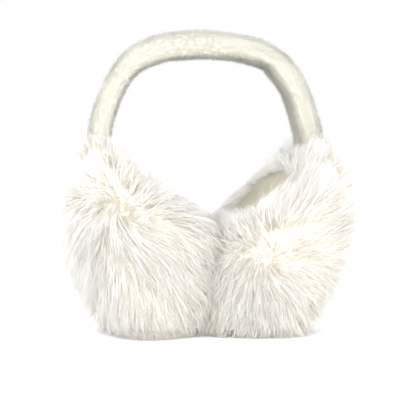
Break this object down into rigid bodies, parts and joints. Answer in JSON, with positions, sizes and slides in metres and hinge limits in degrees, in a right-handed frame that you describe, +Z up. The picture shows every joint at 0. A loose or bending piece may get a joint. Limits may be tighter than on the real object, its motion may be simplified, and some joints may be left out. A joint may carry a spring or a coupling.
{
  "type": "earmuffs",
  "caption": "Fur earmuffs: a padded plush headband over deep fur ear pads, each with a round plush lining, standing on the pads with their ear sides leaning together.",
  "frame": {"origin": "on the surface it stands on, in the middle of the whole object's width and depth", "axes": "+Z up through the crown of the headband, +X to the right-hand pad, -Y to the front, where the right pad shows its ear side and the left pad its outer side"},
  "size_m": [0.2072, 0.1138, 0.2088],
  "materials": {
    "headband_plush": "short cream plush over padding",
    "ear_fur": "long white faux fur",
    "lining_plush": "short cream plush over padding"
  },
  "bodies": {
    "root": {"headband": "headband_plush", "left_ear_fur": "ear_fur", "right_ear_fur": "ear_fur", "left_ear_lining": "lining_plush", "right_ear_lining": "lining_plush"}
  },
  "joints": []
}
